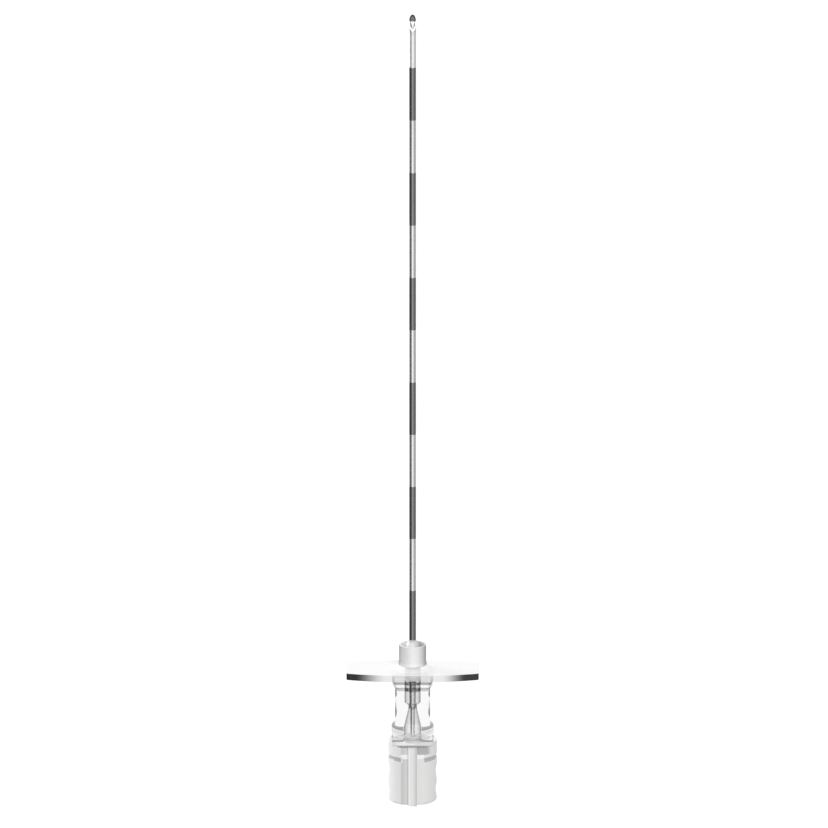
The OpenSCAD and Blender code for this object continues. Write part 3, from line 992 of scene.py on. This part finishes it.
@dataclass
class Cannula(Piece):
    """Steel tube whose end curves forward and is ground to a slanted opening."""

    name: str = "cannula_tube"
    node: str = "cannula"
    body: Body = Body.NEEDLE
    slot: str = "cannula_steel"
    tube_r: float = 0.635
    wall: float = 0.135
    band_l: float = 10.0
    columns: int = 96

    def shells(self) -> list[Shell]:
        """The tube, outside and bore in one skin."""
        outer, inner = self._wall_rings(self.tube_r), self._wall_rings(self.tube_r - self.wall)[::-1]
        share = np.array([0.06, 0.5, 0.94])[:, None, None]
        ground = outer[-1:] * (1 - share) + inner[:1] * share
        return [shell(np.concatenate([outer, ground, inner]), Ends.JOINED)]

    def _wall_rings(self, r: float) -> Array:
        """Rings up one wall of the tube, straight and then round the curve to the bevel.

        On the curve the centre is (0, R cos t - R, bend + R sin t), and a wall point lies r from it, along the
        outward direction (0, cos t, sin t) and along X.

        Args:
            r: Radius of the wall.

        Returns:
            Points in rings.
        """
        point = Point()
        low_z = heights("cannula")[0]
        a = np.linspace(0, 2 * np.pi, self.columns, endpoint=False)

        def place(t: Array) -> Array:
            """Wall point at a turn of the curve, for each column."""
            out = point.bend_r + r * np.sin(a)
            return np.stack([r * np.cos(a), out * np.cos(t) - point.bend_r, point.bend_z + out * np.sin(t)], axis=-1)

        end = point.cut(place, np.zeros(len(a)), np.full(len(a), 1.2 * point.turn))
        share = np.concatenate([np.linspace(0, 0.98, 40), [0.995, 1.0]])
        curve = np.stack([place(s * end) for s in share])
        z = np.concatenate([[low_z, low_z + 0.03], np.linspace(low_z + 1, point.bend_z - 0.5, 30)])
        straight = polar(z, np.full((len(z), len(a)), r), a)
        return np.concatenate([straight, curve])

    def finish(self) -> Steel:
        """Drawn steel whose every second depth band, counted down from the point, is dark, with painted shade at the
        point.
        """
        high = heights(self.node)[1]
        tops = np.arange(high - self.band_l, heights("nose_sleeve")[1], -2 * self.band_l)
        return Steel("cannula_steel", dark_bands=tuple((float(top - self.band_l), float(top), 0.08, 1.0)
                                                       for top in tops),
                     matt_bands=((high - self.band_l, high - 3.2, 0.4, 1.0), (high - 3.2, high - 0.8, 0.4, 0.55)),
                     # painted shade at the point
                     tip_shade_bands=((high - 1.2, high + 1.0, 0.5, 1.0),))


@dataclass
class Hub(Piece):
    """Clear hub: end plate, lug ring, grip waist with finger pockets, and flange around a stepped bore."""

    name: str = "hub_moulding"
    node: str = "hub"
    body: Body = Body.NEEDLE
    slot: str = "clear_hub"
    plate: tuple[float, float, float] = (3.7, 3.5, 0.4)
    plate_h: float = 0.9
    undercut_h: float = 0.25
    lug_r: float = 3.9
    lug_h: float = 2.45
    lug_edge_r: float = 0.6
    waist: tuple[float, float, float] = (3.25, 3.0, 1.0)
    waist_h: float = 7.5
    grip_d: float = 0.35
    grip_w: float = 3.6
    grip_upper_l: float = 1.8
    grip_lower_l: float = 2.6
    grip_ridge_l: float = 1.3
    flange: tuple[float, float, float] = (3.775, 3.5, 0.3)
    flange_h: float = 1.7
    flange_chamfer: float = 0.6
    socket_r: float = 1.64
    socket_inner_r: float = 1.58
    socket_h: float = 2.8
    neck_r: float = 0.75
    neck_h: float = 0.8
    well_r: float = 1.515
    ease: float = 0.1
    columns: int = 400

    def shells(self) -> list[Shell]:
        """The hub, outside and bore in one skin."""
        angles = self._angles()
        low, high = heights(self.node)
        parts = [self._foot(angles, low), self._waist(angles, low), self._flange(angles, high)]
        spigot_z = heights("nose_sleeve")[0]
        neck_z = spigot_z - self.neck_h
        bore = eased(np.array([
            [self.well_r, high], [self.well_r, spigot_z], [self.neck_r, spigot_z], [self.neck_r, neck_z],
            [self.socket_inner_r, low + self.socket_h], [self.socket_r, low]]),
            np.array([0, 0.05, 0.05, 0.1, 0.15, 0]))
        parts.append(ringed(bore, angles))
        return [shell(np.concatenate(parts), Ends.JOINED)]

    def _angles(self) -> Array:
        """Angles of the columns, closer together round the four corners.

        In a quadrant the density is 1 + pull exp(-((a - corner) / width)^2), and its running sum gives the angles.
        """
        corner, width, pull = math.radians(43), math.radians(7), 4.0
        fine = np.linspace(0, np.pi / 2, 2000)
        total = np.cumsum(1 + pull * np.exp(-(((fine - corner) / width) ** 2)))
        total = (total - total[0]) / (total[-1] - total[0])
        quarter = np.interp(np.linspace(0, 1, self.columns // 4, endpoint=False), total, fine)
        back = np.pi - np.append(quarter[1:], np.pi / 2)[::-1]
        half = np.concatenate([quarter, back])
        return np.concatenate([half, half + np.pi])

    def _slab(self, angles: Array, section: tuple[float, float, float], profile: Array) -> Array:
        """Distances for a slab whose outline shrinks by the profile's inset at each height.

        Args:
            angles: Angles of the columns.
            section: Half width, half depth and corner radius.
            profile: Rows of inset and height.

        Returns:
            The distance from the axis for each row and column.
        """
        w, d, r = section
        inset = profile[:, 0]
        return rect_reach(angles, w - inset, d - inset, np.maximum(r - inset, 0.05))

    def _foot(self, angles: Array, low: float) -> Array:
        """Rings of the end plate, the undercut and the lug ring, up to the ring's round edge."""
        top = low + self.plate_h
        plate = eased(np.array([[1.0, low], [0, low], [0, top], [0.5, top]]), self.ease)
        rings = polar(plate[:, 1], self._slab(angles, self.plate, plate), angles)
        core, lug_z = self.waist[1], top + self.undercut_h
        neck = eased(np.array([[core + 0.2, top], [core, top], [core, lug_z], [self.lug_r, lug_z],
                               [self.lug_r, lug_z + 1]]), 0.06)[1:]
        return np.concatenate([rings, ringed(neck, angles)])

    def _pockets(self) -> list[tuple[float, float, float]]:
        """Middle height, length and circle radius of the upper and the lower finger pocket."""
        upper = heights(self.node)[1] - self.flange_h - self.flange_chamfer / 2 - self.grip_upper_l / 2
        lower = upper - self.grip_upper_l / 2 - self.grip_ridge_l - self.grip_lower_l / 2
        return [(middle, length, ((length / 2) ** 2 + self.grip_d**2) / (2 * self.grip_d))
                for middle, length in ((upper, self.grip_upper_l), (lower, self.grip_lower_l))]

    def _pocket_reach(self, angles: Array, z: Array) -> Array:
        """Distance from the axis to the floor of a finger pocket, and far more outside the pockets.

        A pocket is the circle |x| >= c - sqrt(cut_r^2 - (z - middle)^2) between its two ends at |y| = grip_w / 2.
        """
        limit = np.full_like(z, self.lug_r)
        for middle, length, cut_r in self._pockets():
            inside = np.abs(z - middle) < length / 2
            depth = np.sqrt(np.where(inside, cut_r**2 - (z - middle) ** 2, 0))
            limit = np.where(inside, self.waist[0] + cut_r - self.grip_d - depth, limit)
        reach = side_reach(limit[:, None], angles)
        return np.where(np.abs(reach * np.sin(angles)) <= self.grip_w / 2, reach, 2 * self.lug_r)

    def _waist(self, angles: Array, low: float) -> Array:
        """Rings of the lug ring's round edge and of the waist with its grooves, up to the flange."""
        lug_top = low + self.plate_h + self.undercut_h + self.lug_h
        flange_z = lug_top + self.waist_h
        t = np.linspace(0, np.pi / 2, 14)
        lug_z = lug_top - self.lug_edge_r + self.lug_edge_r * np.sin(t)
        lug = (self.lug_r - self.lug_edge_r + self.lug_edge_r * np.cos(t))[:, None]
        slab = self._slab(angles, self.waist, np.column_stack([0 * t, lug_z]))
        edge = blend_max(lug, np.minimum(slab, self.lug_r - 0.05), 0.12)
        z = np.concatenate([[lug_top + 0.03], np.arange(lug_top + 0.1, flange_z, 0.1), [flange_z - 0.03]])
        waist = self._slab(angles, self.waist, np.column_stack([0 * z, z]))
        waist = np.minimum(waist, self._pocket_reach(angles, z))
        return np.concatenate([polar(lug_z, edge, angles), polar(z, waist, angles)])

    def _flange(self, angles: Array, high: float) -> Array:
        """Rings of the flange, whose ends are chamfered underneath: |x| <= end - chamfer + height above its foot."""
        foot = high - self.flange_h
        profile = eased(np.array([[0.4, foot], [0, foot], [0, high], [1.2, high]]), self.ease)
        rise = np.linspace(foot + 0.2, foot + self.flange_chamfer + 0.1, 8)
        profile = np.vstack([profile[:9], np.column_stack([0 * rise, rise]), profile[9:]])
        reach = self._slab(angles, self.flange, profile)
        limit = self.flange[0] - self.flange_chamfer + (profile[:, 1] - foot)
        reach = np.minimum(reach, side_reach(limit[:, None], angles))
        waist = self._slab(angles, self.waist, np.column_stack([0 * profile[:, 1], profile[:, 1]]))
        below = (profile[:, 1] < foot + self.flange_chamfer)[:, None]
        return polar(profile[:, 1], np.where(below, np.maximum(reach, waist), reach), angles)

    def finish(self) -> HubPlastic:
        """Clear polished plastic, with painted shade as dark lines at the plate, undercut, lug ring, neck and flange.
        """
        low, high = heights(self.node)
        plate_z, lug_z = low + self.plate_h, low + self.plate_h + self.undercut_h + self.lug_h
        flange_z, neck_z = high - self.flange_h, heights("nose_sleeve")[0] - self.neck_h
        cuts = tuple((self.waist[0] + cut_r - self.grip_d, middle, cut_r) for middle, _, cut_r in self._pockets())
        return HubPlastic(
            pockets=cuts, well_z=neck_z + self.neck_h, bore_shade_bands=((neck_z - 0.3, neck_z + 0.45, 0.2, 0.35),),
            outer_shade_bands=((low - 0.1, low + 0.12, 0.05, 0.75), (high - 0.95, high - 0.45, 0.1, 0.5),
                         (flange_z - 0.6, flange_z + 0.15, 0.3, 0.36)),
            plate_z=plate_z, front_shade_bands=((plate_z - 0.04, plate_z + self.undercut_h + 0.03, 0.04, 0.68),),
            ring_shade_bands=((lug_z - 1.6, lug_z - 0.6, 1.0, 0.2), (lug_z - 0.6, lug_z + 0.05, 0.12, 0.5)))


@dataclass
class WingPlate(Piece):
    """Clear plate with curved long edges, straight ends and a low boss round the nose sleeve."""

    name: str = "wing_moulding"
    node: str = "wing_plate"
    body: Body = Body.NEEDLE
    slot: str = "clear_wing"
    length: float = 24.6
    depth: float = 10.4
    end_depth: float = 7.0
    thick: float = 1.3
    corner_r: float = 0.6
    boss_r: float = 3.7
    boss_top_r: float = 2.62
    bore_r: float = 1.515
    ease: float = 0.12
    edge_points: int = 130
    corner_points: int = 18
    end_points: int = 33

    def shells(self) -> list[Shell]:
        """The plate, its boss and its bore in one skin."""
        low, high = heights(self.node)
        top = low + self.thick
        outline = self._outline()
        angles = np.arctan2(outline[:, 1], outline[:, 0])
        edge = eased(np.array([[0.3, low], [0, low], [0, top], [0.3, top]]), self.ease)
        plate = self._inset(outline, edge)
        boss = eased(np.array([
            [self.boss_r + 0.5, top], [self.boss_r, top], [self.boss_top_r, high], [self.bore_r, high],
            [self.bore_r, low], [self.bore_r + 0.5, low]]), np.array([0, 0.15, 0.08, 0.05, 0.05, 0]))
        return [shell(np.concatenate([plate, ringed(boss, angles)]), Ends.JOINED)]

    def _outline(self) -> Array:
        """Outline of the plate, built for one quarter and mirrored into the other three.

        The long edge is the circle y = sqrt(R^2 - x^2) - R + depth / 2, where R passes it through the ends.
        """
        half_l, half_end = self.length / 2, self.end_depth / 2
        sag = (self.depth - self.end_depth) / 2
        r = (half_l**2 + sag**2) / (2 * sag)
        x = np.linspace(0, half_l - self.corner_r, self.edge_points)
        long_edge = np.column_stack([x, np.sqrt(r**2 - x**2) - r + self.depth / 2])
        corner = np.array([long_edge[-1], [half_l, half_end], [half_l, half_end - self.corner_r]])
        t = np.linspace(0, 1, self.corner_points)[1:, None]
        bend = (1 - t) ** 2 * corner[0] + 2 * t * (1 - t) * corner[1] + t**2 * corner[2]
        y = np.linspace(half_end - self.corner_r, 0, self.end_points)[1:-1]
        end = np.column_stack([np.full_like(y, half_l), y])
        quarter = np.vstack([long_edge, bend, end])
        half = np.vstack([quarter, [[half_l, 0]], (quarter * [1, -1])[::-1]])
        return np.vstack([half, (half * [-1, 1])[-2:0:-1]])

    def _inset(self, outline: Array, edge: Array) -> Array:
        """Rings that shrink the outline along its normals.

        Args:
            outline: Points of the outline.
            edge: Rows of inset and height.

        Returns:
            Points in rings.
        """
        along = np.roll(outline, -1, axis=0) - np.roll(outline, 1, axis=0)
        normal = np.column_stack([-along[:, 1], along[:, 0]]) / np.linalg.norm(along, axis=1, keepdims=True)
        if np.einsum("ij,ij->", normal, outline) < 0:
            normal = -normal
        flat = outline[None] - edge[:, :1, None] * normal[None]
        z = np.broadcast_to(edge[:, 1][:, None, None], flat[..., :1].shape)
        return np.concatenate([flat, z], axis=-1)

    def finish(self) -> WingPlastic:
        """Pale plastic whose long edges carry painted shade that turns dark towards the ends."""
        return WingPlastic()


@dataclass
class NoseSleeve(Piece):
    """Milky sleeve: open cup with a cone above the wings, and a spigot down into the hub."""

    name: str = "nose_sleeve_moulding"
    node: str = "nose_sleeve"
    body: Body = Body.NEEDLE
    slot: str = "sleeve_plastic"
    bore_r: float = 0.65
    spigot_r: float = 1.485
    chamfer: float = 0.35
    collar_r: float = 2.5
    collar_h: float = 3.8
    flare_t: float = 0.12
    flare_h: float = 0.6
    cup_wall: float = 0.34
    cup_h: float = 2.4
    cone_r: float = 1.85
    cone_top_r: float = 1.05
    cone_rise: float = 0.4
    pocket_r: float = 0.9
    pocket_h: float = 0.7
    columns: int = 180

    def shells(self) -> list[Shell]:
        """The sleeve, turned about the needle's axis."""
        low, cone_z = heights(self.node)
        rim = cone_z - self.cone_rise
        foot, cup_r = rim - self.collar_h, self.collar_r - self.cup_wall
        profile = np.array([
            [self.bore_r, low], [self.spigot_r - self.chamfer, low], [self.spigot_r, low + self.chamfer],
            [self.spigot_r, foot], [self.collar_r + self.flare_t, foot], [self.collar_r, foot + self.flare_h],
            [self.collar_r, rim], [cup_r, rim], [cup_r, rim - self.cup_h], [self.cone_r, rim - self.cup_h],
            [self.cone_top_r, cone_z], [self.pocket_r, cone_z], [self.pocket_r, cone_z - self.pocket_h],
            [self.bore_r, cone_z - self.pocket_h]])
        return [shell(turned(eased(profile, 0.07, closed=True), self.columns), Ends.JOINED)]

    def finish(self) -> SleevePlastic:
        """Milky plastic, clear in the hub, where edges of the hub are painted on it as dark lines of shade."""
        hub_top = heights("hub")[1]
        cup_floor = heights(self.node)[1] - self.cone_rise - self.cup_h
        return SleevePlastic(clear_below=hub_top - 0.9, cup_floor=cup_floor, cup_r=self.collar_r - 0.1, bands=(
            (hub_top - 3.0, hub_top - 2.3, 0.2, 0.38), (hub_top - 1.75, hub_top - 1.3, 0.15, 0.3),
            (hub_top - 2.8, hub_top, 0.2, 0.1)))


@dataclass
class CannulaBead(Piece):
    """Bead of bond that fills the cone's pocket and rises round the tube."""

    name: str = "cannula_bead"
    node: str = "cannula_adhesive"
    body: Body = Body.NEEDLE
    slot: str = "adhesive"
    bore_r: float = 0.65
    pocket_r: float = 0.885
    rise: float = 0.5
    columns: int = 96

    def shells(self) -> list[Shell]:
        """The bead, turned about the needle's axis."""
        low, high = heights(self.node)
        shoulder = high - self.rise
        t = np.linspace(0, 1, 8)[1:-1]
        fillet = np.column_stack([self.pocket_r - (self.pocket_r - self.bore_r - 0.015) * t**0.6,
                                  shoulder + self.rise * t**1.6])
        profile = np.vstack([[[self.bore_r, low], [self.pocket_r, low], [self.pocket_r, shoulder]], fillet,
                             [[self.bore_r + 0.015, high], [self.bore_r, high]]])
        return [shell(turned(eased(profile, 0.01, closed=True, steps=3), self.columns), Ends.JOINED)]

    def finish(self) -> MilkyPlastic:
        """Cured bond."""
        return MilkyPlastic("adhesive", (0.84, 0.84, 0.81, 1.0), roughness=0.25, subsurface=0.4)


@dataclass
class Stage:
    """White floor, soft lamps, cards of several greys that steel and gloss reflect, and the camera."""

    lens: float = 944.0
    distance: float = 4.0
    elevation: float = 16.03
    target: tuple[float, float, float] = (0.00026, 0.0, 0.07413)
    floor_size: float = 8.0
    world_light: float = 0.5
    card_distance: float = 0.04
    card_height: float = 0.32
    cards: tuple[tuple[str, float, float, float], ...] = (
        ("left_back_card", -126, 30, 0.5), ("left_card", -72, 21, 0.0), ("left_front_card", -34, 16, 0.4),
        ("right_front_card", 34, 16, 0.72), ("right_card", 72, 21, 0.4), ("right_back_card", 126, 30, 0.5))

    def build(self) -> None:
        """Builds the whole stage."""
        self._floor()
        self._world()
        self._lamp("front_key", 12, 38, 0.9, 0.35, 3.9)
        self._lamp("left_back_key", -120, 15, 0.8, 0.35, 4.2)
        for card in self.cards:
            self._card(*card)
        self._camera()

    def _plane(self, name: str, corners: list[tuple[float, float, float]]) -> Staged:
        """A flat four-sided stage piece, from its corners in metres, with a material that has no shader yet."""
        mesh = bpy.data.meshes.new(name)
        mesh.from_pydata(corners, [], [(0, 1, 2, 3)])
        plane = bpy.data.objects.new(name, mesh)
        bpy.context.scene.collection.objects.link(plane)
        material = bpy.data.materials.new(name)
        material.use_nodes = True
        tree = material.node_tree
        tree.nodes.remove(tree.nodes["Principled BSDF"])
        mesh.materials.append(material)
        return plane, tree

    def _floor(self) -> None:
        """White floor: diffuse with the needle's shadow, raised to white for camera, glossy and clear rays."""
        s = self.floor_size / 2
        tree = self._plane("floor", [(-s, -s, 0), (s, -s, 0), (s, s, 0), (-s, s, 0)])[1]
        diffuse = add(tree, "BsdfDiffuse", {"Color": (0.3, 0.3, 0.3, 1.0)})
        rays = add(tree, "LightPath")
        seen = add(tree, "Math", {0: rays.outputs["Is Camera Ray"], 1: rays.outputs["Is Glossy Ray"]},
                   operation="MAXIMUM")
        seen = add(tree, "Math", {0: seen.outputs[0], 1: rays.outputs["Is Transmission Ray"]}, operation="MAXIMUM")
        level = add(tree, "MapRange", {"Value": seen.outputs[0], "To Min": 0.25, "To Max": 0.83})
        glow = add(tree, "Emission", {"Color": (1.0, 1.0, 1.0, 1.0), "Strength": level.outputs[0]})
        total = add(tree, "AddShader", {0: diffuse.outputs[0], 1: glow.outputs[0]})
        tree.links.new(total.outputs[0], tree.nodes["Material Output"].inputs["Surface"])

    def _world(self) -> None:
        """Plain white world, at its light level for diffuse rays and white for the rest."""
        world = bpy.data.worlds.new("studio")
        world.use_nodes = True
        tree = world.node_tree
        rays = add(tree, "LightPath")
        level = add(tree, "MapRange", {"Value": rays.outputs["Is Diffuse Ray"], "To Min": 1.0,
                                       "To Max": self.world_light})
        tree.links.new(level.outputs[0], tree.nodes["Background"].inputs["Strength"])
        tree.nodes["Background"].inputs["Color"].default_value = (1.0, 1.0, 1.0, 1.0)
        bpy.context.scene.world = world

    def _direction(self, azimuth: float, elevation: float) -> Vector:
        """Direction from the needle, turned from the camera's side towards +X and then raised, in degrees."""
        a, e = math.radians(azimuth), math.radians(elevation)
        return Vector((math.sin(a) * math.cos(e), -math.cos(a) * math.cos(e), math.sin(e)))

    def _stand(self, name: str, thing: bpy.types.Light | bpy.types.Camera, target: tuple[float, float, float],
               out: Vector, distance: float) -> bpy.types.Object:
        """Puts a lamp or camera at this distance from its target, in the direction out, and aims it back."""
        stand = bpy.data.objects.new(name, thing)
        stand.location = Vector(target) + out * distance
        stand.rotation_euler = (-out).to_track_quat("-Z", "Y").to_euler()
        bpy.context.scene.collection.objects.link(stand)
        return stand

    def _lamp(self, name: str, azimuth: float, elevation: float, distance: float, size: float,
              power: float) -> None:
        """A square soft lamp that faces the foot of the needle.

        Args:
            name: Name of the lamp.
            azimuth: Its direction from the camera's side towards +X, in degrees.
            elevation: Its height as an angle, in degrees.
            distance: Its distance from the needle.
            size: Length of its side.
            power: Its power in watts.
        """
        lamp = bpy.data.lights.new(name, "AREA")
        lamp.size = size
        lamp.energy = power
        self._stand(name, lamp, (0, 0, 0), self._direction(azimuth, elevation), distance)

    def _card(self, name: str, azimuth: float, half_angle: float, grey: float) -> None:
        """An upright card that only steel and gloss reflect.

        Args:
            name: Name of the card.
            azimuth: Its direction from the camera's side towards +X, in degrees.
            half_angle: Half of the angle that it fills.
            grey: Its brightness.
        """
        out = self._direction(azimuth, 0)
        side = Vector((-out.y, out.x, 0)) * math.tan(math.radians(half_angle))
        low = [(out - side) * self.card_distance, (out + side) * self.card_distance]
        up = Vector((0, 0, self.card_height))
        card, tree = self._plane(name, [tuple(p) for p in (low[0], low[1], low[1] + up, low[0] + up)])
        glow = add(tree, "Emission", {"Color": (grey, grey, grey, 1.0)})
        tree.links.new(glow.outputs[0], tree.nodes["Material Output"].inputs["Surface"])
        card.visible_camera = False
        card.visible_diffuse = False
        card.visible_shadow = False
        card.visible_transmission = False

    def _camera(self) -> None:
        """Camera at the photograph's height, aimed at the middle of the needle."""
        camera = bpy.data.cameras.new("camera")
        camera.lens = self.lens
        out = self._direction(0, self.elevation)
        bpy.context.scene.camera = self._stand("camera", camera, self.target, out, self.distance)


def dress_bond(shop: Workshop) -> None:
    """Gives the hidden cup of bond round the wire's end its finish, on the frame's own mesh."""
    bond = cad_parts["stylet_adhesive"]
    bond.data.materials.clear()
    bond.data.materials.append(MilkyPlastic("wire_bond", (0.84, 0.84, 0.81, 1.0), subsurface=0.4).build(shop))
    log.info("stylet_adhesive: kept from the frame")


def main() -> None:
    """Builds the stage and every piece."""
    logging.basicConfig(level=logging.INFO, format="%(name)s: %(message)s")
    Stage().build()
    shop = Workshop()
    for part in (StyletCap(), StyletWire(), Hub(), WingPlate(), NoseSleeve(), Cannula(), CannulaBead()):
        part.dress(part.build(), shop)
    dress_bond(shop)
    bpy.context.scene.view_settings.view_transform = "Standard"


if __name__ == "__main__":
    main()
